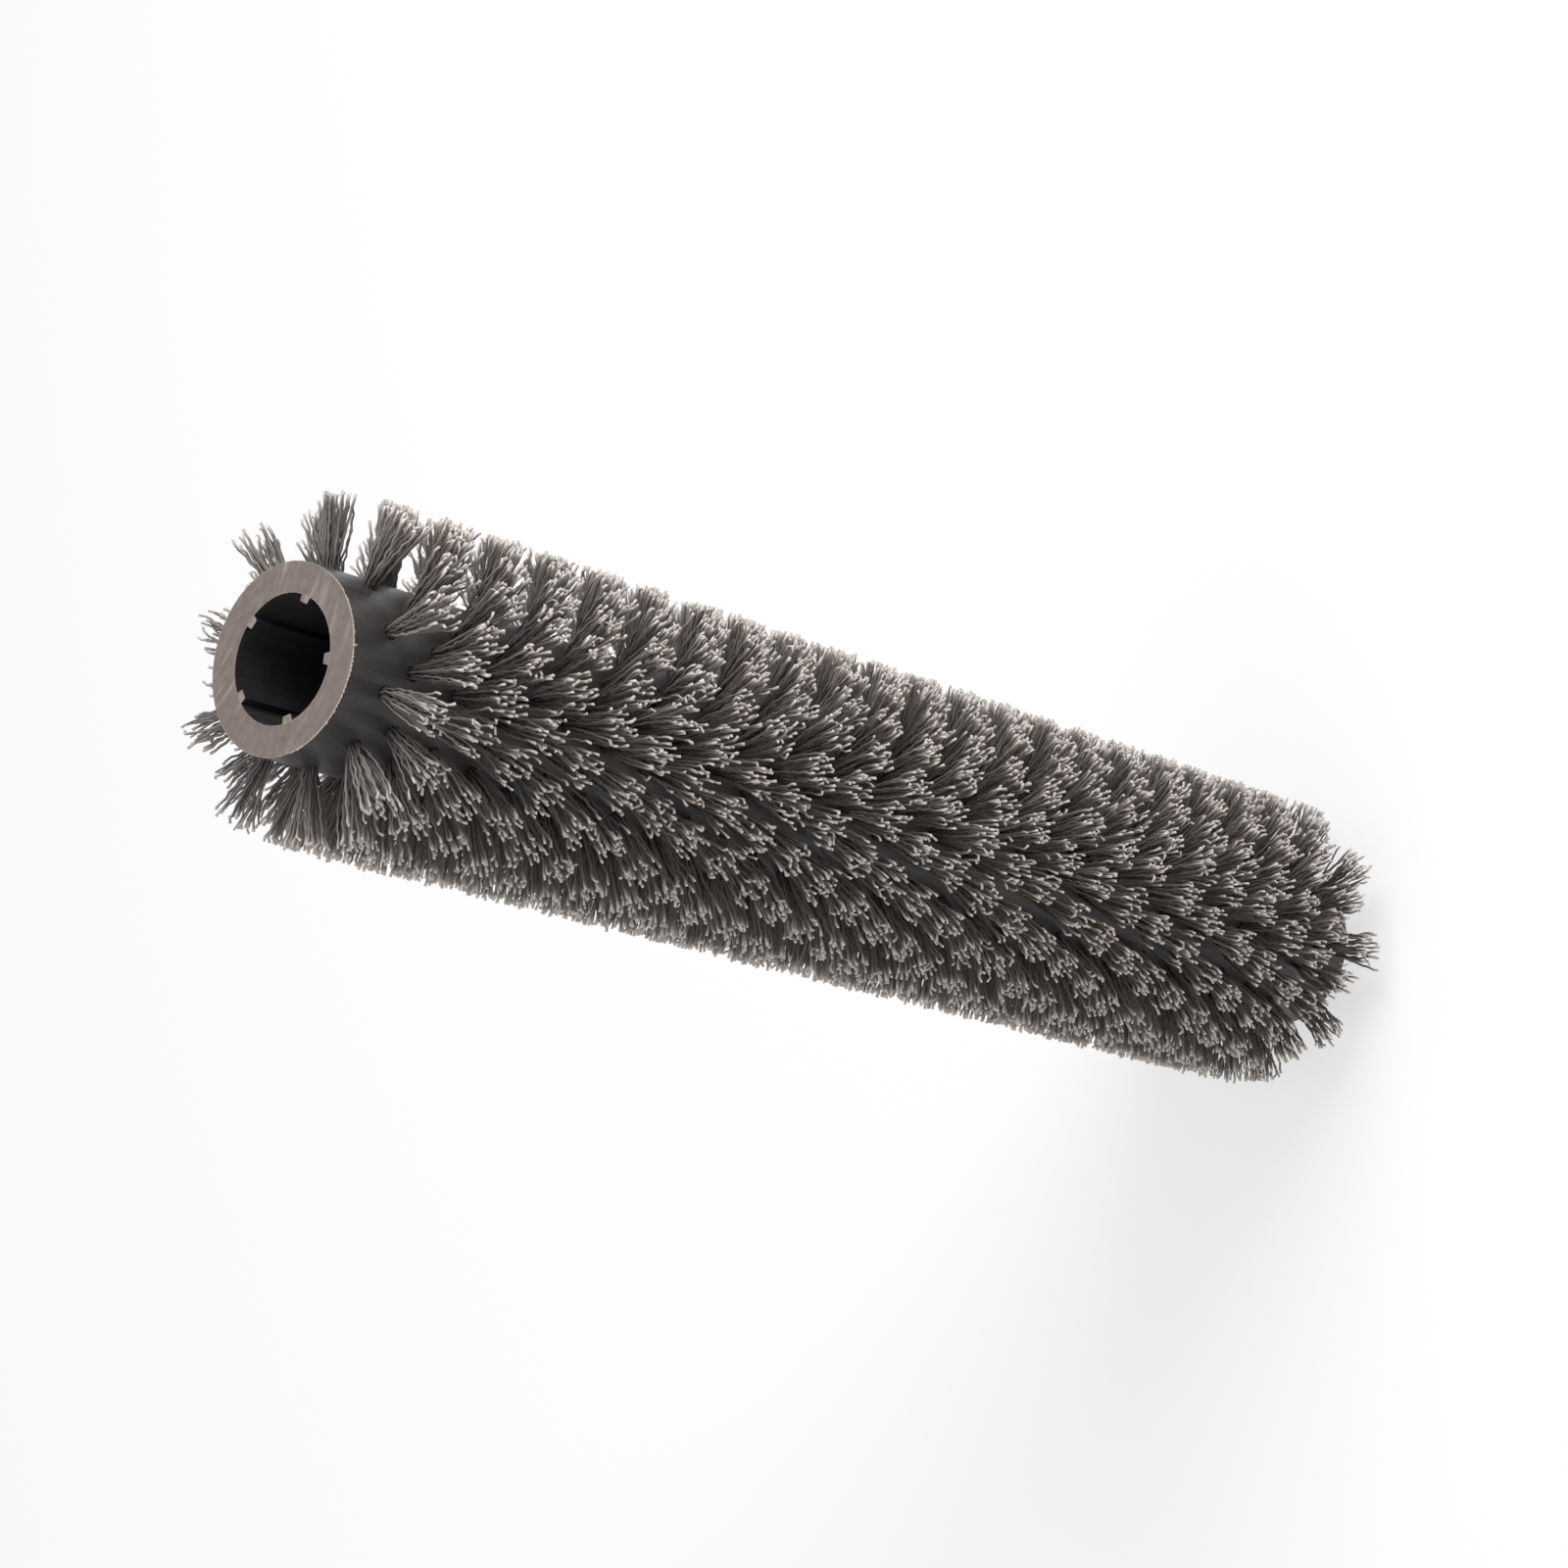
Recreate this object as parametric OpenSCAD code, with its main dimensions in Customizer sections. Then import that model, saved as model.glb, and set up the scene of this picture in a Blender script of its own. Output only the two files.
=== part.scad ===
// Cylindrical floor scrubber brush: a splined plastic tube set with helical rows of nylon tufts.
// It stands on one end. Z is the tube's axis, and the origin is the centre of the lower end face.

/* [Tube] */
// Length of the tube
tube_length = 700; // [300:1:1000]
// Outer diameter of the tube
tube_d = 80; // [76:0.5:100]
// Diameter of the bore between the splines
bore_d = 54; // [40:0.5:56]

/* [Drive splines] */
// Number of splines in the bore
spline_count = 5; // [3:1:8]
// Height of a spline above the bore's wall
spline_h = 3.1; // [1.5:0.1:5]
// Width of a spline where it leaves the bore's wall
spline_root_w = 5.4; // [4:0.1:8]
// Width of a spline across its crest
spline_crest_w = 4.2; // [2:0.1:6]
// Angle of the first spline about the tube's axis
spline_angle = 65.4; // [0:0.1:72]

/* [Tuft pattern] */
// Number of rows of tufts around the tube
row_count = 20; // [8:2:20]
// Distance along the tube from one ring of tufts to the next
ring_pitch = 12.8; // [12:0.1:30]
// Distance from the upper end face to the centre of the first ring of tufts
end_margin = 21; // [15:1:60]
// Turn of a row about the tube's axis for each ring, in degrees
row_twist = 2.955; // [0:0.005:6]
// Angle of the first row about the tube's axis, at the upper end
row_angle = 15.4; // [0:0.1:36]

/* [Tufts] */
// Diameter of the brush over the trimmed tips
brush_d = 147; // [120:1:200]
// Diameter of a tuft across its tips
tuft_tip_d = 18; // [12:0.5:20]
// Diameter of the hole that holds a tuft
hole_d = 6.4; // [5:0.1:8]
// Depth of the hole that holds a tuft
hole_depth = 9.5; // [6:0.5:10]
// Radial clearance between a tuft's foot and its hole
foot_clearance = 0.1; // [0.05:0.05:0.3]

/* [Anchors] */
// Thickness of the flat anchor wire
anchor_t = 0.5; // [0.3:0.1:1]
// Height of the flat anchor wire
anchor_h = 2.2; // [1:0.1:3]
// Height of the anchor above the floor of its hole
anchor_lift = 1.3; // [0.8:0.1:2]

/* [Hidden] */
$fn = 96;
tube_r = tube_d / 2;
bore_r = bore_d / 2;
brush_r = brush_d / 2;
hole_r = hole_d / 2;
foot_r = hole_r - foot_clearance;
floor_r = tube_r - hole_depth;
row_step = 360 / row_count;
last_ring = floor((tube_length - 2 * end_margin) / ring_pitch);
overcut = 1;

// Height of a ring, counted down from the upper end
function ring_z(ring) = tube_length - end_margin - ring * ring_pitch;

// Angle of one tuft about the tube's axis
function tuft_angle(row, ring) = row_angle - row * row_step - ring * row_twist;

// Rings that a row uses: every second one, and neighbouring rows take turns
function row_rings(row) = [row % 2 : 2 : last_ring];

// Places the children at one tuft, with their Z along the radius and zero on the hole's floor
module at_tuft(row, ring) {
    translate([0, 0, ring_z(ring)])
        rotate([0, 90, tuft_angle(row, ring)])
            translate([0, 0, floor_r]) children();
}

// Outline of one spline, from inside the wall to its crest
module spline_outline() {
    root_x = bore_r * cos(asin(spline_root_w / 2 / bore_r));
    polygon([
        [bore_r + overcut, -spline_root_w / 2],
        [root_x, -spline_root_w / 2],
        [bore_r - spline_h, -spline_crest_w / 2],
        [bore_r - spline_h, spline_crest_w / 2],
        [root_x, spline_root_w / 2],
        [bore_r + overcut, spline_root_w / 2]
    ]);
}

// Outline of the bore, with the splines standing in it
module bore_outline() {
    difference() {
        circle(r = bore_r);
        for (i = [0 : spline_count - 1])
            rotate(spline_angle + i * 360 / spline_count) spline_outline();
    }
}

// Extruded tube, drilled with a blind hole for each tuft
module core_tube() {
    color("#2b2724") difference() {
        linear_extrude(tube_length) difference() {
            circle(r = tube_r);
            bore_outline();
        }
        for (row = [0 : row_count - 1])
            for (ring = row_rings(row))
                at_tuft(row, ring) cylinder(h = hole_depth + overcut, r = hole_r);
    }
}

// Flat wire that crosses a hole, with its length along the tube
module anchor(length) {
    translate([-length / 2, -anchor_t / 2, anchor_lift]) cube([length, anchor_t, anchor_h]);
}

// Fan of filaments above the tube, trimmed to the brush diameter
module fan() {
    intersection() {
        translate([0, 0, hole_depth])
            cylinder(h = brush_r - tube_r + overcut, r1 = foot_r, r2 = tuft_tip_d / 2);
        translate([0, 0, -floor_r]) sphere(r = brush_r);
    }
}

// One tuft: a foot that fills its hole, folded round the anchor, and the fan above it
module tuft() {
    difference() {
        union() {
            cylinder(h = hole_depth, r = foot_r);
            fan();
        }
        anchor(hole_d);
    }
}

module tuft_row(row) {
    color("#6d645c") for (ring = row_rings(row)) at_tuft(row, ring) tuft();
}

module anchor_row(row) {
    color("#b9bcbf") for (ring = row_rings(row)) at_tuft(row, ring) anchor(foot_r * 2);
}

core_tube();
for (row = [0 : row_count - 1]) tuft_row(row);
for (row = [0 : row_count - 1]) anchor_row(row);
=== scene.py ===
"""Looks of a cylindrical floor scrubber brush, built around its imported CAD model.

The brush stands on its sawn tube end, with Z along the tube. Lengths are in metres.
"""

import math

import bpy
import numpy as np
from mathutils import Matrix, Vector


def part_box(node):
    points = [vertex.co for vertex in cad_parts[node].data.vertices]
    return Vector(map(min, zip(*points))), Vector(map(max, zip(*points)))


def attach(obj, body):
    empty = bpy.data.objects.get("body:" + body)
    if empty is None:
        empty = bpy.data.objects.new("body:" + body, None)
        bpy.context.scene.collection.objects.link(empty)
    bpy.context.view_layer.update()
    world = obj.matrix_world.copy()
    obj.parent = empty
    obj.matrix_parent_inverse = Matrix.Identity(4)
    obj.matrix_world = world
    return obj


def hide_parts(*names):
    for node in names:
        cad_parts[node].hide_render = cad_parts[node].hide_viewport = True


bl_info = {
    "name": "Floor Scrubber Brush",
    "version": (1, 0, 0),
    "blender": (4, 5, 0),
    "location": "3D View > Sidebar > Scrubber Brush",
    "description": "Dresses the packed brush in crimped filaments, sawn plastic and wire",
    "category": "Add Mesh",
}

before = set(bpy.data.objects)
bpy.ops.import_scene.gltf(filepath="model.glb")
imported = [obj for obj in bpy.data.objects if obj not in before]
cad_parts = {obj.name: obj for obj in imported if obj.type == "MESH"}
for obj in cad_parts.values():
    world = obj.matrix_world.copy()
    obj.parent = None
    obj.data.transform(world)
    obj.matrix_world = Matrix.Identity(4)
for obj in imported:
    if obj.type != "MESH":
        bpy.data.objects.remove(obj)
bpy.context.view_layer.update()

BODY = "root"
TUBE_NODE = "core_tube"
TUFT_NODES = [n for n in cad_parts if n.startswith("tuft_row_")]
ANCHOR_NODES = [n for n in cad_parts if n.startswith("anchor_row_")]
BAKE_MAP = "OFBake"

TUBE_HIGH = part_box(TUBE_NODE)[1]
TUBE_RADIUS = TUBE_HIGH.x
TUBE_TOP = TUBE_HIGH.z

# Two tufts of a row are further apart than this along the tube, and the corners of one wire are closer
TUFT_GAP = 0.010

# Turn from one filament of a bundle to the next, in radians, which spreads them evenly
GOLDEN_TURN = 2.39996

# How much tufts differ from each other: share of the spread, and lean of the tips
SPREAD_VARIATION = 0.07
TUFT_LEAN = 0.0011

# How much filaments differ: places of their tips, places of the stops along them, and sag
TIP_WANDER = 0.0010
STRAY_WANDER = 0.0032
STRAY_SHORTFALL = 0.003
STOP_JITTER = 0.16
SAG = 0.0010

# Crimps: change of direction from one to the next in radians, and range of their height
CRIMP_TURN = 0.35
CRIMP_RANGE = (0.45, 1.45)

# Cut ends: bend in radians where the knife hooked them and where it didn't, and range of their length
HOOK_BEND = (0.5, 1.15)
CUT_BEND = (0.0, 0.25)
END_RANGE = (0.75, 1.25)

# Filament section: corners, their reach as a share of the diameter, its range, and the flare at the cut
CORNERS = 3
CORNER_REACH = 0.56
THICKNESS_RANGE = (0.88, 1.12)
CUT_FLARE = 1.18

# Half the room that the folded bundle leaves for its anchor wire
WIRE_HALF_GAP = 0.0009

# Stops round the rim at which the burr changes its height
BURR_STEPS = 420

# Camera of the photograph: its place, and the directions of its frame
CAMERA_PLACE = Vector((0.0, -1.3955, 1.942))
CAMERA_RIGHT = Vector((0.2775, -0.7142, -0.6426))
CAMERA_UP = Vector((0.9607, 0.2035, 0.1888))
CAMERA_BACK = Vector((-0.0041, -0.6697, 0.7426))


# Sizes and colours


class FilamentSettings(bpy.types.PropertyGroup):
    """Sizes and colours of the crimped nylon filaments."""

    count: bpy.props.IntProperty(
        name="Filaments per tuft",
        description="Number of filament ends that leave one hole",
        default=24,
        min=6,
        max=40,
    )
    diameter: bpy.props.FloatProperty(
        name="Filament diameter",
        description="Thickness of one nylon filament",
        default=0.0011,
        unit="LENGTH",
    )
    packing_radius: bpy.props.FloatProperty(
        name="Packing radius",
        description="Radius of the bundle where it leaves its hole",
        default=0.0026,
        unit="LENGTH",
    )
    hole_depth: bpy.props.FloatProperty(
        name="Depth in the hole",
        description="How far the filaments reach into the tube's wall",
        default=0.0085,
        unit="LENGTH",
    )
    tip_radius: bpy.props.FloatProperty(
        name="Tip radius",
        description="Radius of one tuft across its cut tips",
        default=0.0088,
        unit="LENGTH",
    )
    trim_radius: bpy.props.FloatProperty(
        name="Trim radius",
        description="Radius of the brush over its trimmed tips",
        default=0.0735,
        unit="LENGTH",
    )
    trim_scatter: bpy.props.FloatProperty(
        name="Trim scatter",
        description="How much shorter some filaments are than the trim radius",
        default=0.0009,
        unit="LENGTH",
    )
    crimp_height: bpy.props.FloatProperty(
        name="Crimp height",
        description="Sideways reach of one crimp from the filament's middle line",
        default=0.00034,
        unit="LENGTH",
    )
    crimp_steps: bpy.props.IntProperty(
        name="Crimp steps",
        description="Number of half waves along the free length of a filament",
        default=9,
        min=3,
        max=14,
    )
    tip_length: bpy.props.FloatProperty(
        name="Frayed tip length",
        description="Length of the pale end of a filament",
        default=0.0023,
        unit="LENGTH",
    )
    hook_share: bpy.props.FloatProperty(
        name="Share of hooked tips",
        description="Part of the filaments whose cut end bends sideways",
        default=0.38,
        min=0.0,
        max=1.0,
        subtype="FACTOR",
    )
    stray_share: bpy.props.FloatProperty(
        name="Share of strays",
        description="Part of the filaments that leave their tuft",
        default=0.05,
        min=0.0,
        max=1.0,
        subtype="FACTOR",
    )
    shaft_colour: bpy.props.FloatVectorProperty(
        name="Shaft colour",
        description="Middle tone of the nylon along the filament",
        default=(0.205, 0.176, 0.158),
        subtype="COLOR",
        size=3,
    )
    grey_colour: bpy.props.FloatVectorProperty(
        name="Worn shaft colour",
        description="Cooler tone that some filaments have",
        default=(0.150, 0.139, 0.136),
        subtype="COLOR",
        size=3,
    )
    # Partly dirt and partly painted shade where the filaments crowd near the tube
    foot_dirt_and_shade_colour: bpy.props.FloatVectorProperty(
        name="Colour near the tube",
        description="Darker tone where dirt stays between the filaments",
        default=(0.070, 0.061, 0.058),
        subtype="COLOR",
        size=3,
    )
    tip_colour: bpy.props.FloatVectorProperty(
        name="Tip colour",
        description="Pale tone of the cut and flattened ends",
        default=(0.76, 0.70, 0.65),
        subtype="COLOR",
        size=3,
    )
    seed: bpy.props.IntProperty(
        name="Seed",
        description="Start of the random numbers",
        default=41,
    )


class TubeSettings(bpy.types.PropertyGroup):
    """Colours and tool marks of the extruded tube."""

    outside_colour: bpy.props.FloatVectorProperty(
        name="Outside colour",
        description="Near black brown of the extruded skin",
        default=(0.030, 0.026, 0.026),
        subtype="COLOR",
        size=3,
    )
    sawn_colour: bpy.props.FloatVectorProperty(
        name="Sawn colour",
        description="Grey brown of the freshly cut end",
        default=(0.140, 0.110, 0.098),
        subtype="COLOR",
        size=3,
    )
    mark_colour: bpy.props.FloatVectorProperty(
        name="Saw mark colour",
        description="Pale tone of the scratches that the saw leaves",
        default=(0.30, 0.25, 0.225),
        subtype="COLOR",
        size=3,
    )
    # Painted shade: the bore's wall is the skin's plastic, given a near black tone for the shade inside it
    bore_painted_shade_colour: bpy.props.FloatVectorProperty(
        name="Bore colour",
        description="Dark tone of the bore's wall",
        default=(0.004, 0.006, 0.009),
        subtype="COLOR",
        size=3,
    )
    bore_radius: bpy.props.FloatProperty(
        name="Bore radius",
        description="Radius of the bore between its splines",
        default=0.027,
        unit="LENGTH",
    )
    saw_angle: bpy.props.FloatProperty(
        name="Saw direction",
        description="Direction in which the saw crossed the end",
        default=math.radians(-13.0),
        subtype="ANGLE",
    )
    blade_radius: bpy.props.FloatProperty(
        name="Blade radius",
        description="Radius of the arcs that the saw left",
        default=0.16,
        unit="LENGTH",
    )


class BurrSettings(bpy.types.PropertyGroup):
    """Sizes of the burr and swarf that the saw left on the upper end."""

    height: bpy.props.FloatProperty(
        name="Burr height",
        description="How far the ragged edge stands off the rim",
        default=0.0011,
        unit="LENGTH",
    )
    start_angle: bpy.props.FloatProperty(
        name="Start angle",
        description="Where the burr starts about the tube's axis",
        default=math.radians(-150.0),
        subtype="ANGLE",
    )
    end_angle: bpy.props.FloatProperty(
        name="End angle",
        description="Where the burr ends about the tube's axis",
        default=math.radians(-18.0),
        subtype="ANGLE",
    )
    colour: bpy.props.FloatVectorProperty(
        name="Burr colour",
        description="Pale tone of torn plastic",
        default=(0.42, 0.36, 0.33),
        subtype="COLOR",
        size=3,
    )
    seed: bpy.props.IntProperty(
        name="Seed",
        description="Start of the random numbers",
        default=7,
    )


class StageSettings(bpy.types.PropertyGroup):
    """Camera, lamps and floor."""

    lens: bpy.props.FloatProperty(
        name="Lens",
        description="Focal length on a 36 mm square sensor, in millimetres",
        default=107.75,
    )
    key_power: bpy.props.FloatProperty(
        name="Key lamp",
        description="Power of the main soft lamp",
        default=46.0,
        subtype="POWER",
    )
    fill_power: bpy.props.FloatProperty(
        name="Fill lamp",
        description="Power of the weaker lamp",
        default=14.0,
        subtype="POWER",
    )
    room_light: bpy.props.FloatProperty(
        name="Room light",
        description="Even light from all sides",
        default=0.50,
        min=0.0,
    )
    floor_half: bpy.props.FloatProperty(
        name="Floor half width",
        description="Half the width of the floor",
        default=6.0,
        unit="LENGTH",
    )


# Node helpers


def new_material(name):
    """An empty node material with a Principled shader, and that shader."""
    material = bpy.data.materials.new(name)
    material.use_nodes = True
    tree = material.node_tree
    shader = next(n for n in tree.nodes if n.type == "BSDF_PRINCIPLED")
    return material, tree, shader


def add_node(tree, kind, **settings):
    """A node of one kind, with its own settings."""
    node = tree.nodes.new(kind)
    for name, value in settings.items():
        setattr(node, name, value)
    return node


def put(tree, value, socket):
    """Links an output to a socket, or writes a plain value on it."""
    if isinstance(value, bpy.types.NodeSocket):
        tree.links.new(value, socket)
    else:
        socket.default_value = value


def maths(tree, operation, a, b=0.0, clamp=False):
    """Output of one Math node."""
    node = add_node(tree, "ShaderNodeMath", operation=operation, use_clamp=clamp)
    put(tree, a, node.inputs[0])
    put(tree, b, node.inputs[1])
    return node.outputs[0]


def ramp(tree, value, low, high, start=0.0, end=1.0):
    """Output of a clamped Map Range node."""
    node = add_node(tree, "ShaderNodeMapRange", clamp=True)
    put(tree, value, node.inputs["Value"])
    for name, number in (("From Min", low), ("From Max", high), ("To Min", start), ("To Max", end)):
        put(tree, number, node.inputs[name])
    return node.outputs["Result"]


def blend_colour(tree, share, a, b, blend_type="MIX"):
    """Colour output of one Mix node."""
    node = add_node(tree, "ShaderNodeMix", data_type="RGBA", blend_type=blend_type)
    sockets = [s for s in node.inputs if s.type == "RGBA"]
    put(tree, share, node.inputs["Factor"])
    put(tree, a, sockets[0])
    put(tree, b, sockets[1])
    return next(s for s in node.outputs if s.type == "RGBA")


def noise(tree, vector, scale, detail=2.0, roughness=0.5):
    """Value of one Noise Texture node."""
    node = add_node(tree, "ShaderNodeTexNoise")
    put(tree, vector, node.inputs["Vector"])
    put(tree, scale, node.inputs["Scale"])
    put(tree, detail, node.inputs["Detail"])
    put(tree, roughness, node.inputs["Roughness"])
    return node.outputs["Fac"]


def stretched(tree, vector, factors):
    """A vector with each axis scaled on its own."""
    node = add_node(tree, "ShaderNodeMapping")
    put(tree, vector, node.inputs["Vector"])
    node.inputs["Scale"].default_value = factors
    return node.outputs["Vector"]


def place(tree):
    """Object coordinates, which are the row frame's metres for every piece."""
    return add_node(tree, "ShaderNodeTexCoord").outputs["Object"]


def attribute(tree, name):
    """Value of one of the mesh's own attributes."""
    return add_node(tree, "ShaderNodeAttribute", attribute_name=name).outputs["Fac"]


def bump(tree, height, distance, strength=1.0):
    """Normal output of one Bump node."""
    node = add_node(tree, "ShaderNodeBump")
    put(tree, height, node.inputs["Height"])
    node.inputs["Distance"].default_value = distance
    node.inputs["Strength"].default_value = strength
    return node.outputs["Normal"]


def new_group(name, inputs, outputs):
    """An empty shader node group with named float, colour and vector sockets."""
    tree = bpy.data.node_groups.new(name, "ShaderNodeTree")
    for label, kind, value in inputs:
        socket = tree.interface.new_socket(label, in_out="INPUT", socket_type=kind)
        if value is not None:
            socket.default_value = value
    for label, kind in outputs:
        tree.interface.new_socket(label, in_out="OUTPUT", socket_type=kind)
    entry = tree.nodes.new("NodeGroupInput")
    leave = tree.nodes.new("NodeGroupOutput")
    return tree, entry.outputs, leave.inputs


def use_group(tree, group, **values):
    """One copy of a group in a material, with its own values."""
    node = add_node(tree, "ShaderNodeGroup", node_tree=group)
    for label, value in values.items():
        put(tree, value, node.inputs[label.replace("_", " ")])
    return node.outputs


def dust_group():
    """Pale dust and handling marks in soft patches, used on nylon, tube and wire."""
    name = "Workshop dust"
    if name in bpy.data.node_groups:
        return bpy.data.node_groups[name]
    tree, given, made = new_group(
        name,
        (
            ("Place", "NodeSocketVector", None),
            ("Patch Scale", "NodeSocketFloat", 30.0),
            ("Amount", "NodeSocketFloat", 0.3),
            ("Colour", "NodeSocketColor", (0.5, 0.5, 0.5, 1.0)),
            ("Dust Colour", "NodeSocketColor", (0.4, 0.37, 0.34, 1.0)),
        ),
        (("Colour", "NodeSocketColor"), ("Mask", "NodeSocketFloat")),
    )
    broad = noise(tree, given["Place"], given["Patch Scale"], 4.0, 0.6)
    fine = noise(tree, given["Place"], maths(tree, "MULTIPLY", given["Patch Scale"], 14.0), 2.0, 0.7)
    patch = ramp(tree, broad, 0.42, 0.72)
    speck = ramp(tree, fine, 0.40, 0.70, 0.35, 1.0)
    mask = maths(tree, "MULTIPLY", maths(tree, "MULTIPLY", patch, speck), given["Amount"], clamp=True)
    tree.links.new(mask, made["Mask"])
    tree.links.new(blend_colour(tree, mask, given["Colour"], given["Dust Colour"]), made["Colour"])
    return tree


def rgba(colour):
    """A stored colour with full alpha."""
    return (*colour, 1.0)


# Mesh helpers


def mesh_object(name, points, faces, smooth=True):
    """A new object in the scene from points and faces."""
    mesh = bpy.data.meshes.new(name)
    mesh.from_pydata([tuple(p) for p in points], [], [tuple(f) for f in faces])
    mesh.polygons.foreach_set("use_smooth", [smooth] * len(mesh.polygons))
    mesh.validate()
    mesh.update()
    piece = bpy.data.objects.new(name, mesh)
    bpy.context.scene.collection.objects.link(piece)
    return piece


def dress(piece, material):
    """Gives a piece one material."""
    piece.data.materials.clear()
    piece.data.materials.append(material)


def tuft_places(anchor_node):
    """(angle, height) of each tuft of a row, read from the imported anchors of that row."""
    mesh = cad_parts[anchor_node].data
    corners = np.empty(len(mesh.vertices) * 3)
    mesh.vertices.foreach_get("co", corners)
    corners = corners.reshape(-1, 3)
    corners = corners[np.argsort(corners[:, 2])]
    breaks = np.flatnonzero(np.diff(corners[:, 2]) > TUFT_GAP) + 1
    found = []
    for group in np.split(corners, breaks):
        middle = (group.min(0) + group.max(0)) / 2
        found.append((math.atan2(middle[1], middle[0]), middle[2]))
    if len(found) < 2:
        raise RuntimeError("no tufts found in " + anchor_node)
    return np.array(found)


def filament_lines(tufts, s, rng):
    """Middle lines of all filaments of a row.

    Returns the distance of each stop from the tube's axis, and its places round and along the tube
    as seen from the middle of its tuft.
    """
    shape = (len(tufts), s.count)
    order = np.arange(s.count) + 0.5
    share = np.sqrt(order / s.count)[None, :]
    turn = order[None, :] * GOLDEN_TURN + rng.uniform(0, 2 * math.pi, (len(tufts), 1))
    ring = np.stack([np.cos(turn), np.sin(turn)], -1)
    foot = ring * (share * s.packing_radius)[..., None]

    # Each tuft has its own spread and leans a little, and each filament strays from its place.
    spread = s.tip_radius * rng.normal(1.0, SPREAD_VARIATION, (len(tufts), 1))
    lean = rng.normal(0.0, TUFT_LEAN, (len(tufts), 1, 2))
    tip = ring * (share * spread)[..., None] + lean + rng.normal(0, TIP_WANDER, (*shape, 2))
    stray = rng.random(shape) < s.stray_share
    tip += stray[..., None] * rng.normal(0, STRAY_WANDER, (*shape, 2))

    scatter = np.abs(rng.normal(0, s.trim_scatter, shape))
    scatter += stray * rng.uniform(0, STRAY_SHORTFALL, shape)
    reach = np.sqrt(s.trim_radius**2 - tip[..., 0] ** 2) - scatter

    # Free length: crimps that turn to and fro across a line from the foot to the tip.
    steps = s.crimp_steps
    u = np.linspace(0, 1, steps + 1)[None, None, :] + np.zeros((*shape, 1))
    u[..., 1:-1] += rng.normal(0, STOP_JITTER / steps, (*shape, steps - 1))
    shaft_end = reach - s.tip_length
    radial = TUBE_RADIUS + u * (shaft_end - TUBE_RADIUS)[..., None]
    side = foot[..., None, :] + (tip - foot)[..., None, :] * u[..., None]
    sag_way = rng.normal(0, SAG, (*shape, 1, 2))
    side += sag_way * np.sin(math.pi * u)[..., None]
    crimp_turn = rng.uniform(0, math.pi, (*shape, 1)) + np.cumsum(
        rng.normal(0, CRIMP_TURN, (*shape, steps + 1)), -1
    )
    way = np.stack([np.cos(crimp_turn), np.sin(crimp_turn)], -1)
    height = s.crimp_height * rng.uniform(*CRIMP_RANGE, (*shape, steps + 1))
    height *= np.where(np.arange(steps + 1) % 2, 1.0, -1.0)
    height[..., 0] = 0.0
    side += way * height[..., None]

    # Cut end: straight on, or bent over by the knife.
    hooked = rng.random(shape) < s.hook_share
    bend = np.where(hooked, rng.uniform(*HOOK_BEND, shape), rng.uniform(*CUT_BEND, shape))
    bend_turn = rng.uniform(0, 2 * math.pi, shape)
    length = s.tip_length * rng.uniform(*END_RANGE, shape)
    end_radial = radial[..., -1] + length * np.cos(bend)
    end_side = side[..., -1, :] + (length * np.sin(bend))[..., None] * np.stack(
        [np.cos(bend_turn), np.sin(bend_turn)], -1
    )

    # In the hole the bundle parts on both sides of its anchor.
    root = foot.copy()
    apart = np.maximum(np.abs(root[..., 0]), WIRE_HALF_GAP)
    root[..., 0] = np.where(root[..., 0] < 0, -1, 1) * apart
    root_radial = np.full((*shape, 1), TUBE_RADIUS - s.hole_depth)

    radial = np.concatenate([root_radial, radial, end_radial[..., None]], -1)
    side = np.concatenate([root[..., None, :], side, end_side[..., None, :]], -2)
    return radial, side


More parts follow.
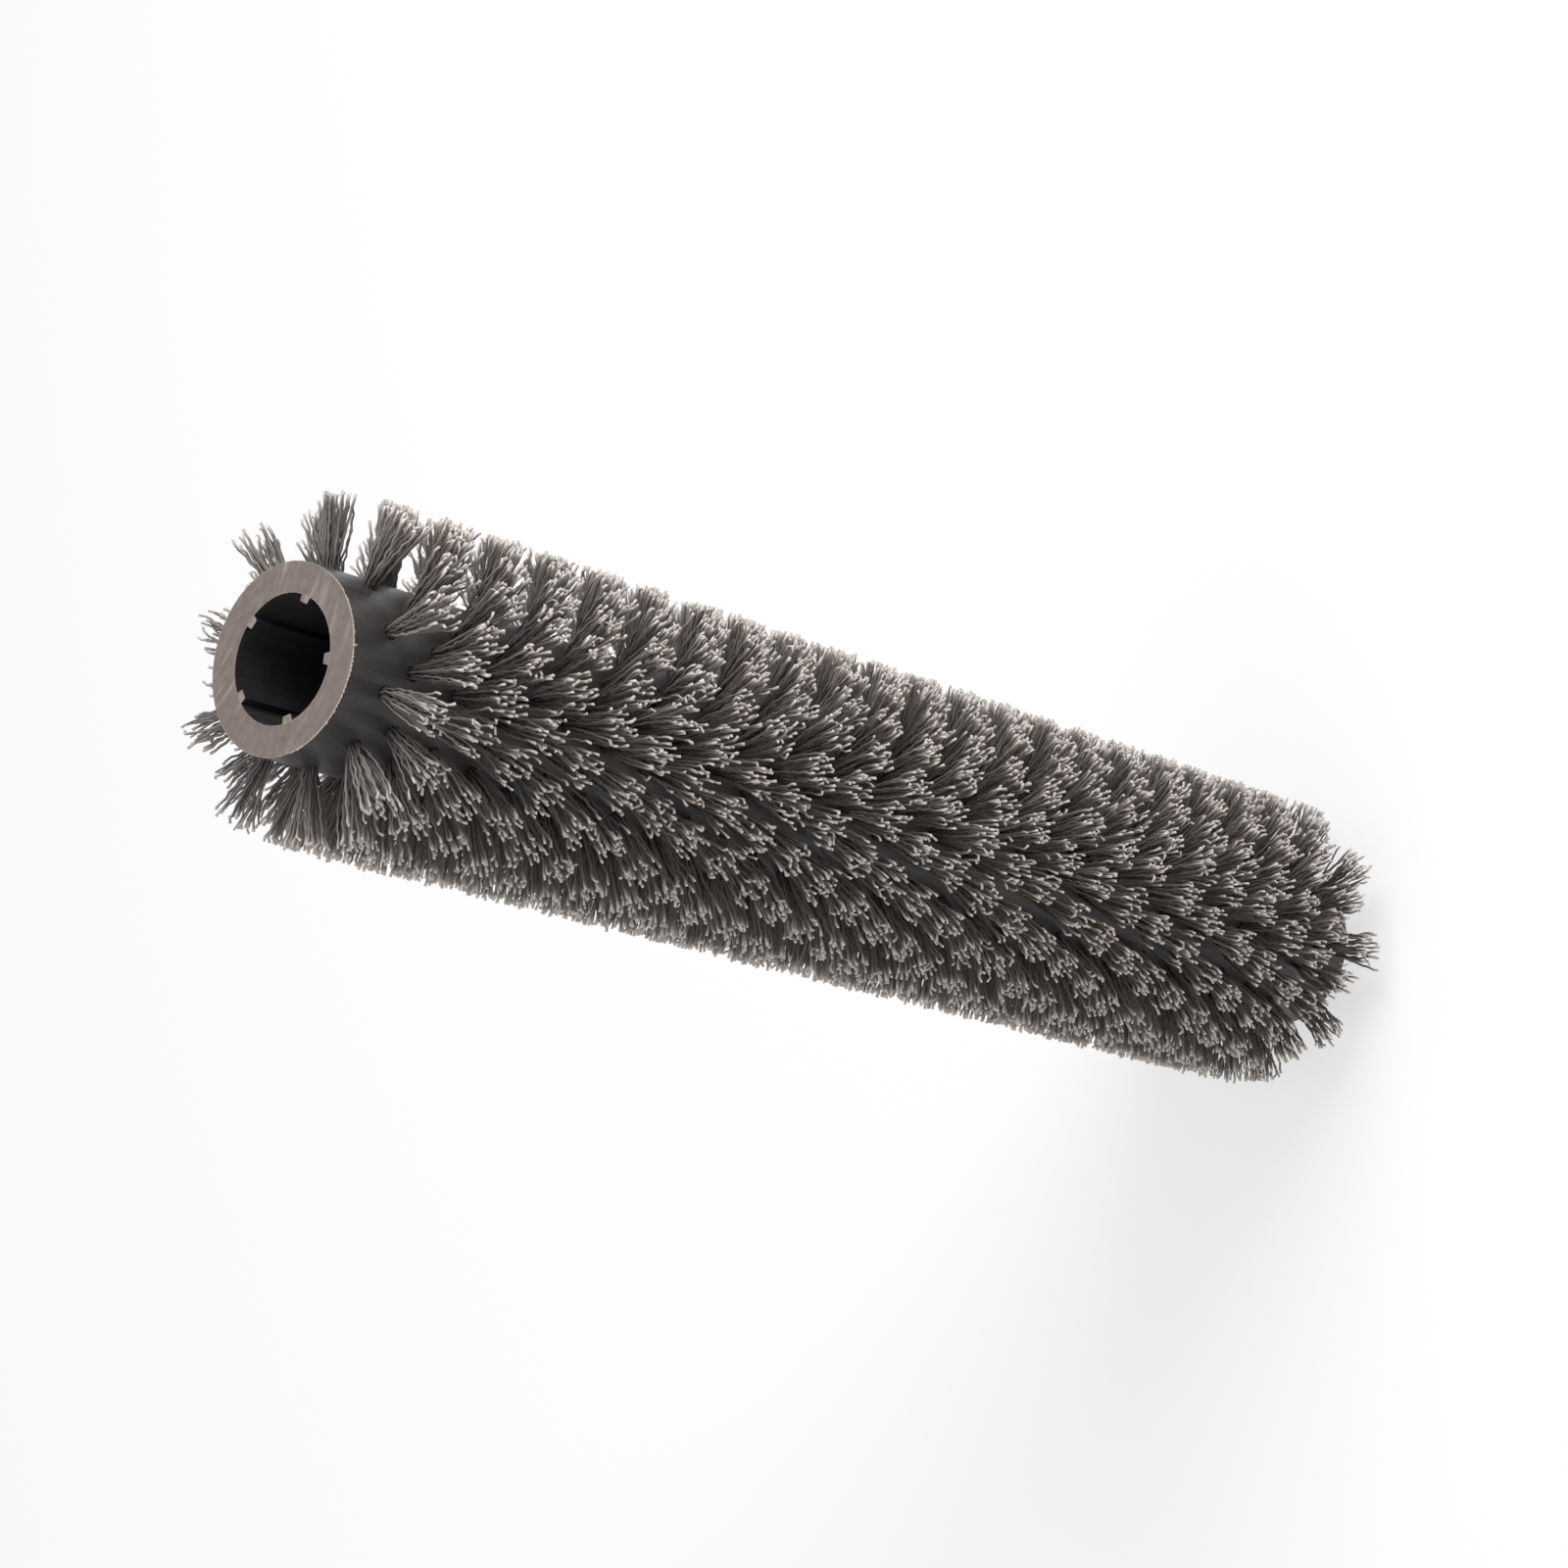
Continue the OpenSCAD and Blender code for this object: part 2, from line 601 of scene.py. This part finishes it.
def strand_piece(name, tufts, s, rng):
    """One row of tufts as a single mesh of three-sided crimped strands with cut ends."""
    radial, side = filament_lines(tufts, s, rng)
    count, each, stops = radial.shape
    total = count * each
    angle = tufts[:, 0][:, None, None]
    out = np.stack([np.cos(angle), np.sin(angle), np.zeros_like(angle)], -1)
    across = np.stack([-np.sin(angle), np.cos(angle), np.zeros_like(angle)], -1)
    up = np.array([0.0, 0.0, 1.0])
    middle = radial[..., None] * out + side[..., :1] * across + side[..., 1:] * up
    middle[..., 2] += tufts[:, 1][:, None, None]
    line = middle.reshape(total, stops, 3)

    # Two directions across each strand, and three corners round it at every stop.
    heading = np.gradient(line, axis=1)
    heading /= np.linalg.norm(heading, axis=2, keepdims=True)
    first = np.cross(heading, up)
    first /= np.linalg.norm(first, axis=2, keepdims=True)
    second = np.cross(heading, first)
    k = np.arange(CORNERS)
    corner = rng.uniform(0, 2 * math.pi, (total, 1, 1)) + k * 2 * math.pi / CORNERS
    thick = s.diameter * CORNER_REACH * rng.uniform(*THICKNESS_RANGE, (total, 1, 1))
    thick = thick * np.ones((1, stops, 1))
    thick[:, -1] *= CUT_FLARE
    offset = (
        first[:, :, None, :] * np.cos(corner)[..., None]
        + second[:, :, None, :] * np.sin(corner)[..., None]
    )
    points = (line[:, :, None, :] + offset * thick[..., None]).reshape(-1, 3)

    # Faces: three strips round each strand, and one cut end.
    ring_here = np.arange(stops - 1)[:, None] * CORNERS
    quad = np.stack(
        [
            ring_here + k,
            ring_here + (k + 1) % CORNERS,
            ring_here + CORNERS + (k + 1) % CORNERS,
            ring_here + CORNERS + k,
        ],
        -1,
    ).reshape(-1, 4)
    starts = np.arange(total)[:, None, None] * stops * CORNERS
    quads = (quad[None] + starts).reshape(-1, 4)
    caps = (k[None, None] + (stops - 1) * CORNERS + starts).reshape(-1, CORNERS)

    mesh = bpy.data.meshes.new(name)
    mesh.vertices.add(len(points))
    mesh.vertices.foreach_set("co", points.astype(np.float32).ravel())
    loops = np.concatenate([quads.ravel(), caps.ravel()]).astype(np.int32)
    mesh.loops.add(len(loops))
    mesh.loops.foreach_set("vertex_index", loops)
    sizes = np.concatenate([np.full(len(quads), 4), np.full(len(caps), CORNERS)])
    loop_starts = np.concatenate([[0], np.cumsum(sizes)[:-1]]).astype(np.int32)
    mesh.polygons.add(len(sizes))
    mesh.polygons.foreach_set("loop_start", loop_starts)
    smooth = np.concatenate([np.ones(len(quads), bool), np.zeros(len(caps), bool)])
    mesh.polygons.foreach_set("use_smooth", smooth)

    # Per point: how pale the tip is, the place along the strand, and the strand's own shade.
    pale = np.zeros(stops)
    pale[-1], pale[-2] = 1.0, 0.55
    along = np.linspace(0, 1, stops)
    own = rng.random((total, 1)) * np.ones((1, stops))
    for label, values in (
        ("tip_mask", np.tile(pale, (total, 1)) * rng.uniform(0.55, 1.0, (total, 1))),
        ("along", np.tile(along, (total, 1))),
        ("shade", own),
    ):
        layer = mesh.attributes.new(label, "FLOAT", "POINT")
        values = np.repeat(values, CORNERS, axis=1).astype(np.float32)
        layer.data.foreach_set("value", values.ravel())

    # Bake map: each strand has a cell of its own, with its three strips side by side.
    cells = math.ceil(math.sqrt(total))
    cell = np.arange(total)
    left = (cell % cells)[:, None, None] / cells
    low = (cell // cells)[:, None, None] / cells
    strip = (k + np.array([[0.0], [1.0]])).T / CORNERS
    u_pair = 0.08 + 0.76 * strip
    v_stop = 0.06 + 0.82 * np.arange(stops) / (stops - 1)
    quad_u = np.stack([u_pair[:, 0], u_pair[:, 1], u_pair[:, 1], u_pair[:, 0]], -1)
    quad_u = np.tile(quad_u[None], (stops - 1, 1, 1)).reshape(-1, 4)
    quad_v = np.stack([v_stop[:-1], v_stop[:-1], v_stop[1:], v_stop[1:]], -1)
    quad_v = np.repeat(quad_v, CORNERS, axis=0)
    quad_uv = np.stack([left + quad_u[None] / cells, low + quad_v[None] / cells], -1)
    cap_u, cap_v = np.array([0.86, 0.94, 0.90]), np.array([0.88, 0.88, 0.95])
    cap_uv = np.stack(
        [left[:, :, 0] + cap_u[None] / cells, low[:, :, 0] + cap_v[None] / cells], -1
    )
    layer = mesh.uv_layers.new(name=BAKE_MAP)
    both = np.concatenate([quad_uv.reshape(-1, 2), cap_uv.reshape(-1, 2)]).astype(np.float32)
    layer.uv.foreach_set("vector", both.ravel())

    mesh.update(calc_edges=True)
    if mesh.validate():
        raise RuntimeError("the strands of " + name + " aren't a clean mesh")
    piece = bpy.data.objects.new(name, mesh)
    bpy.context.scene.collection.objects.link(piece)
    return piece


# Materials


def nylon_material(s):
    """Crimped grey brown nylon, darker at the foot with dirt and painted shade between the filaments, and a
    pale, flattened cut end.
    """
    material, tree, shader = new_material("Crimped nylon")
    where = place(tree)
    tip, along, own = (attribute(tree, n) for n in ("tip_mask", "along", "shade"))
    worn = blend_colour(tree, ramp(tree, own, 0.25, 0.75), rgba(s.shaft_colour), rgba(s.grey_colour))
    grit = ramp(tree, noise(tree, where, 1400.0, 2.0, 0.7), 0.3, 0.7, 0.72, 1.28)
    grained = blend_colour(tree, 1.0, worn, grit, "MULTIPLY")
    dusty = use_group(
        tree,
        dust_group(),
        Place=where,
        Patch_Scale=26.0,
        Amount=0.35,
        Colour=grained,
        Dust_Colour=(0.34, 0.30, 0.27, 1.0),
    )
    # Darker towards the foot: dirt, and painted shade between the crowded filaments
    dirt_and_shade_at_foot = blend_colour(tree, ramp(tree, along, 0.08, 0.42), rgba(s.foot_dirt_and_shade_colour), dusty["Colour"])
    tipped = blend_colour(tree, tip, dirt_and_shade_at_foot, rgba(s.tip_colour))
    tree.links.new(tipped, shader.inputs["Base Color"])
    rough = ramp(tree, noise(tree, where, 700.0, 2.0), 0.3, 0.7, 0.36, 0.62)
    tree.links.new(rough, shader.inputs["Roughness"])
    grain = noise(tree, where, 2600.0, 2.0, 0.6)
    tree.links.new(bump(tree, grain, 0.00012, 0.5), shader.inputs["Normal"])
    shader.inputs["Specular IOR Level"].default_value = 0.42
    return material


def tube_material(s):
    """Extruded plastic: dull skin outside, a bore painted near black with shade, and sawn ends with
    arc-shaped marks.
    """
    material, tree, shader = new_material("Extruded and sawn plastic")
    where = place(tree)
    parts = add_node(tree, "ShaderNodeSeparateXYZ")
    tree.links.new(where, parts.inputs["Vector"])
    x, y, z = (parts.outputs[i] for i in range(3))
    radius = maths(
        tree, "SQRT", maths(tree, "ADD", maths(tree, "MULTIPLY", x, x), maths(tree, "MULTIPLY", y, y))
    )
    from_middle = maths(tree, "ABSOLUTE", maths(tree, "SUBTRACT", z, TUBE_TOP / 2))
    at_end = ramp(tree, from_middle, TUBE_TOP / 2 - 0.00012, TUBE_TOP / 2 - 0.00004)
    inside = ramp(tree, radius, s.bore_radius + 0.0002, s.bore_radius - 0.0003)

    # Skin: draw lines along the tube, faint dust and scuffs.
    lines = noise(tree, stretched(tree, where, (900.0, 900.0, 6.0)), 1.0, 3.0, 0.6)
    line_tone = ramp(tree, lines, 0.3, 0.7, 0.80, 1.25)
    skin = blend_colour(tree, 1.0, rgba(s.outside_colour), line_tone, "MULTIPLY")
    skin = use_group(
        tree,
        dust_group(),
        Place=where,
        Patch_Scale=34.0,
        Amount=0.30,
        Colour=skin,
        Dust_Colour=(0.17, 0.15, 0.145, 1.0),
    )["Colour"]
    # Painted shade: the bore's wall takes a near black tone for the shade inside the bore
    skin = blend_colour(tree, inside, skin, rgba(s.bore_painted_shade_colour))

    # Sawn end: arcs of one large radius, some of them deep and pale.
    toward = s.saw_angle + math.pi / 2
    centre = Vector((math.cos(toward), math.sin(toward), 0.0)) * s.blade_radius
    shift = add_node(tree, "ShaderNodeVectorMath", operation="SUBTRACT")
    tree.links.new(where, shift.inputs[0])
    shift.inputs[1].default_value = (centre.x, centre.y, TUBE_TOP)
    flat = add_node(tree, "ShaderNodeVectorMath", operation="MULTIPLY")
    tree.links.new(shift.outputs["Vector"], flat.inputs[0])
    flat.inputs[1].default_value = (1.0, 1.0, 0.0)
    measure = add_node(tree, "ShaderNodeVectorMath", operation="LENGTH")
    tree.links.new(flat.outputs["Vector"], measure.inputs[0])
    arc = measure.outputs["Value"]
    wobble = maths(tree, "MULTIPLY", noise(tree, where, 42.0, 3.0, 0.5), 0.0026)
    arc = maths(tree, "ADD", arc, wobble)
    spot = add_node(tree, "ShaderNodeCombineXYZ")
    tree.links.new(arc, spot.inputs["X"])
    along_cut = maths(
        tree,
        "ADD",
        maths(tree, "MULTIPLY", x, math.cos(s.saw_angle)),
        maths(tree, "MULTIPLY", y, math.sin(s.saw_angle)),
    )
    tree.links.new(maths(tree, "MULTIPLY", along_cut, 0.055), spot.inputs["Y"])
    coarse = noise(tree, spot.outputs["Vector"], 420.0, 3.0, 0.62)
    fine = noise(tree, spot.outputs["Vector"], 1900.0, 2.0, 0.6)
    deep = ramp(tree, coarse, 0.54, 0.70)
    thin = ramp(tree, fine, 0.55, 0.75, 0.0, 0.55)
    patch = ramp(tree, noise(tree, where, 60.0, 2.0), 0.35, 0.62)
    marks = maths(tree, "MULTIPLY", maths(tree, "MAXIMUM", deep, thin), patch, clamp=True)
    mottle = ramp(tree, noise(tree, where, 240.0, 4.0, 0.6), 0.3, 0.7, 0.82, 1.16)
    sawn = blend_colour(tree, 1.0, rgba(s.sawn_colour), mottle, "MULTIPLY")
    sawn = blend_colour(tree, marks, sawn, rgba(s.mark_colour))
    rim_line = maths(
        tree,
        "MAXIMUM",
        ramp(tree, radius, TUBE_RADIUS - 0.0006, TUBE_RADIUS - 0.0002),
        ramp(tree, radius, s.bore_radius + 0.0004, s.bore_radius + 0.0001, 0.0, 0.6),
    )
    rim_noise = ramp(tree, noise(tree, where, 380.0, 2.0), 0.35, 0.65)
    sawn = blend_colour(tree, maths(tree, "MULTIPLY", rim_line, rim_noise), sawn, rgba(s.mark_colour))
    tree.links.new(blend_colour(tree, at_end, skin, sawn), shader.inputs["Base Color"])

    skin_rough = ramp(tree, lines, 0.3, 0.7, 0.30, 0.46)
    bore_rough = maths(tree, "ADD", maths(tree, "MULTIPLY", inside, 0.25), skin_rough)
    end_rough = ramp(tree, marks, 0.0, 1.0, 0.62, 0.48)
    rough = add_node(tree, "ShaderNodeMix", data_type="FLOAT")
    floats = [i for i in rough.inputs if i.type == "VALUE"]
    put(tree, at_end, floats[0])
    put(tree, bore_rough, floats[1])
    put(tree, end_rough, floats[2])
    tree.links.new(next(o for o in rough.outputs if o.type == "VALUE"), shader.inputs["Roughness"])

    relief_skin = maths(tree, "MULTIPLY", lines, 0.25)
    relief_end = maths(tree, "ADD", maths(tree, "MULTIPLY", coarse, 0.9), maths(tree, "MULTIPLY", fine, 0.35))
    relief = add_node(tree, "ShaderNodeMix", data_type="FLOAT")
    floats = [i for i in relief.inputs if i.type == "VALUE"]
    put(tree, at_end, floats[0])
    put(tree, relief_skin, floats[1])
    put(tree, relief_end, floats[2])
    height = next(o for o in relief.outputs if o.type == "VALUE")
    tree.links.new(bump(tree, height, 0.00035, 0.8), shader.inputs["Normal"])
    shader.inputs["Specular IOR Level"].default_value = 0.5
    return material


def torn_plastic_material(s):
    """Pale, thin and torn plastic of the burr and swarf."""
    material, tree, shader = new_material("Torn plastic edge")
    where = place(tree)
    tone = ramp(tree, noise(tree, where, 900.0, 3.0, 0.7), 0.3, 0.7, 0.55, 1.3)
    ragged = blend_colour(tree, 1.0, rgba(s.colour), tone, "MULTIPLY")
    dusty = use_group(
        tree,
        dust_group(),
        Place=where,
        Patch_Scale=120.0,
        Amount=0.45,
        Colour=ragged,
        Dust_Colour=(0.60, 0.55, 0.51, 1.0),
    )
    tree.links.new(dusty["Colour"], shader.inputs["Base Color"])
    rough = ramp(tree, noise(tree, where, 1500.0, 2.0), 0.3, 0.7, 0.45, 0.75)
    tree.links.new(rough, shader.inputs["Roughness"])
    grain = noise(tree, where, 2200.0, 3.0, 0.6)
    tree.links.new(bump(tree, grain, 0.0002, 0.7), shader.inputs["Normal"])
    return material


def wire_material():
    """Drawn flat steel wire, with lines along it and a dull film."""
    material, tree, shader = new_material("Drawn flat wire")
    where = place(tree)
    lines = noise(tree, stretched(tree, where, (4000.0, 4000.0, 60.0)), 1.0, 3.0, 0.6)
    bright = blend_colour(
        tree, ramp(tree, lines, 0.35, 0.65), (0.42, 0.42, 0.43, 1.0), (0.66, 0.66, 0.67, 1.0)
    )
    filmed = use_group(
        tree,
        dust_group(),
        Place=where,
        Patch_Scale=300.0,
        Amount=0.4,
        Colour=bright,
        Dust_Colour=(0.30, 0.27, 0.24, 1.0),
    )
    tree.links.new(filmed["Colour"], shader.inputs["Base Color"])
    tree.links.new(ramp(tree, lines, 0.3, 0.7, 0.28, 0.45), shader.inputs["Roughness"])
    tree.links.new(bump(tree, lines, 0.00005, 0.6), shader.inputs["Normal"])
    shader.inputs["Metallic"].default_value = 1.0
    return material


def backdrop_material(name, colour, camera_share):
    """A pale matte surface that the camera sees mostly white, and that keeps shadows."""
    material, tree, shader = new_material(name)
    shader.inputs["Base Color"].default_value = (*colour, 1.0)
    shader.inputs["Roughness"].default_value = 0.95
    shader.inputs["Specular IOR Level"].default_value = 0.1
    ray = add_node(tree, "ShaderNodeLightPath")
    seen = maths(tree, "MAXIMUM", ray.outputs["Is Camera Ray"], ray.outputs["Is Glossy Ray"])
    seen = maths(tree, "MAXIMUM", seen, ray.outputs["Is Transmission Ray"])
    glow = add_node(tree, "ShaderNodeEmission")
    glow.inputs["Color"].default_value = (1.0, 1.0, 1.0, 1.0)
    mixed = add_node(tree, "ShaderNodeMixShader")
    tree.links.new(maths(tree, "MULTIPLY", seen, camera_share), mixed.inputs["Fac"])
    tree.links.new(shader.outputs["BSDF"], mixed.inputs[1])
    tree.links.new(glow.outputs["Emission"], mixed.inputs[2])
    surface = next(n for n in tree.nodes if n.type == "OUTPUT_MATERIAL").inputs["Surface"]
    tree.links.new(mixed.outputs["Shader"], surface)
    return material


# Operators


class SCRUBBER_OT_tuft_rows(bpy.types.Operator):
    """Replaces each row of solid tufts with crimped filaments"""

    bl_idname = "scrubber.tuft_rows"
    bl_label = "Tuft rows"

    def execute(self, context):
        s = context.scene.brush_filaments
        material = nylon_material(s)
        for node in TUFT_NODES:
            number = int(node.rsplit("_", 1)[1])
            tufts = tuft_places("anchor_row_%d" % number)
            rng = np.random.default_rng(s.seed * 100 + number)
            piece = strand_piece("filaments_row_%d" % number, tufts, s, rng)
            dress(piece, material)
            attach(piece, BODY)
            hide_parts(node)
        return {"FINISHED"}


class SCRUBBER_OT_core_tube(bpy.types.Operator):
    """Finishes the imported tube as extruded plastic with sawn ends"""

    bl_idname = "scrubber.core_tube"
    bl_label = "Core tube"

    def execute(self, context):
        dress(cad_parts[TUBE_NODE], tube_material(context.scene.brush_tube))
        return {"FINISHED"}


class SCRUBBER_OT_anchors(bpy.types.Operator):
    """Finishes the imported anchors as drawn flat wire"""

    bl_idname = "scrubber.anchors"
    bl_label = "Anchor wires"

    def execute(self, context):
        material = wire_material()
        for node in ANCHOR_NODES:
            dress(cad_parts[node], material)
        return {"FINISHED"}


class SCRUBBER_OT_rim_burr(bpy.types.Operator):
    """Adds the ragged burr that the saw left on the rim of the upper end"""

    bl_idname = "scrubber.rim_burr"
    bl_label = "Rim burr"

    def execute(self, context):
        s = context.scene.brush_burr
        rng = np.random.default_rng(s.seed)
        steps = BURR_STEPS
        angles = np.linspace(s.start_angle, s.end_angle, steps)
        ragged = np.abs(np.convolve(rng.normal(0, 1, steps + 6), np.ones(4) / 2, "same")[:steps])
        swell = np.interp(
            np.degrees(angles), [-150, -125, -98, -70, -40, -18], [0.25, 0.5, 0.85, 1.0, 0.5, 0.1]
        )
        lift = s.height * swell * (0.25 + 0.75 * ragged)
        points = []
        for angle, high in zip(angles, lift):
            curl = rng.uniform(0.35, 0.9)
            profile = (
                (TUBE_RADIUS - 0.00045, TUBE_TOP - 0.00005),
                (TUBE_RADIUS + 0.10 * high, TUBE_TOP + 0.35 * high),
                (TUBE_RADIUS + 0.85 * high, TUBE_TOP + curl * 0.45 * high),
                (TUBE_RADIUS + 0.45 * high, TUBE_TOP - 0.25 * high),
                (TUBE_RADIUS - 0.00010, TUBE_TOP - 0.00040),
            )
            for radius, height in profile:
                points.append((radius * math.cos(angle), radius * math.sin(angle), height))
        ring = 5
        faces = []
        for i in range(steps - 1):
            for j in range(ring):
                a, b = i * ring + j, i * ring + (j + 1) % ring
                faces.append((a, b, b + ring, a + ring))
        faces.append(tuple(range(ring))[::-1])
        faces.append(tuple(range((steps - 1) * ring, steps * ring)))
        piece = mesh_object("rim_burr", points, faces)
        dress(piece, torn_plastic_material(s))
        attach(piece, BODY)
        return {"FINISHED"}


class SCRUBBER_OT_stage(bpy.types.Operator):
    """Adds the floor, the lamps, the room light and the camera"""

    bl_idname = "scrubber.stage"
    bl_label = "Stage"

    def execute(self, context):
        s = context.scene.brush_stage
        scene = context.scene
        scene.view_settings.view_transform = "Standard"
        half = s.floor_half
        floor = mesh_object(
            "floor",
            [(-half, -half, 0), (half, -half, 0), (half, half, 0), (-half, half, 0)],
            [(0, 1, 2, 3)],
            smooth=False,
        )
        dress(floor, backdrop_material("Pale floor", (0.90, 0.90, 0.90), 0.62))

        world = bpy.data.worlds.new("Room")
        scene.world = world
        world.use_nodes = True
        tree = world.node_tree
        light = next(n for n in tree.nodes if n.type == "BACKGROUND")
        light.inputs["Color"].default_value = (1.0, 1.0, 1.0, 1.0)
        ray = add_node(tree, "ShaderNodeLightPath")
        seen = maths(tree, "MAXIMUM", ray.outputs["Is Camera Ray"], ray.outputs["Is Glossy Ray"])
        seen = maths(tree, "MAXIMUM", seen, ray.outputs["Is Transmission Ray"])
        tree.links.new(ramp(tree, seen, 0.0, 1.0, s.room_light, 1.0), light.inputs["Strength"])

        target = Vector((0.0, 0.0, TUBE_TOP * 0.55))
        right, up, back = CAMERA_RIGHT, CAMERA_UP, CAMERA_BACK
        lamps = (
            ("key_lamp", 0.85 * up + 0.60 * back - 0.25 * right, 2.2, 1.3, s.key_power),
            ("fill_lamp", -0.45 * up + 0.80 * back - 0.50 * right, 2.4, 1.6, s.fill_power),
        )
        for name, way, distance, size, power in lamps:
            lamp = bpy.data.lights.new(name, "AREA")
            lamp.energy = power
            lamp.size = size
            holder = bpy.data.objects.new(name, lamp)
            holder.location = target + way.normalized() * distance
            holder.rotation_euler = (holder.location - target).to_track_quat("Z", "Y").to_euler()
            scene.collection.objects.link(holder)

        camera = bpy.data.cameras.new("photo_camera")
        camera.sensor_width = 36.0
        camera.lens = s.lens
        holder = bpy.data.objects.new("photo_camera", camera)
        turn = Matrix((right, up, back)).transposed().to_4x4()
        holder.matrix_world = Matrix.Translation(CAMERA_PLACE) @ turn
        scene.collection.objects.link(holder)
        scene.camera = holder
        return {"FINISHED"}


class SCRUBBER_PT_panel(bpy.types.Panel):
    """Lists the pieces of the brush"""

    bl_idname = "SCRUBBER_PT_panel"
    bl_label = "Scrubber Brush"
    bl_space_type = "VIEW_3D"
    bl_region_type = "UI"
    bl_category = "Scrubber Brush"

    def draw(self, context):
        for operator in OPERATORS:
            self.layout.operator(operator.bl_idname)


OPERATORS = (
    SCRUBBER_OT_stage,
    SCRUBBER_OT_core_tube,
    SCRUBBER_OT_anchors,
    SCRUBBER_OT_rim_burr,
    SCRUBBER_OT_tuft_rows,
)
SETTINGS = {
    "brush_filaments": FilamentSettings,
    "brush_tube": TubeSettings,
    "brush_burr": BurrSettings,
    "brush_stage": StageSettings,
}


def register():
    for cls in (*SETTINGS.values(), *OPERATORS, SCRUBBER_PT_panel):
        bpy.utils.register_class(cls)
    for name, cls in SETTINGS.items():
        setattr(bpy.types.Scene, name, bpy.props.PointerProperty(type=cls))


def unregister():
    for name in SETTINGS:
        delattr(bpy.types.Scene, name)
    for cls in reversed((*SETTINGS.values(), *OPERATORS, SCRUBBER_PT_panel)):
        bpy.utils.unregister_class(cls)


def main():
    register()
    bpy.ops.scrubber.stage()
    bpy.ops.scrubber.core_tube()
    bpy.ops.scrubber.anchors()
    bpy.ops.scrubber.rim_burr()
    bpy.ops.scrubber.tuft_rows()


if __name__ == "__main__":
    main()
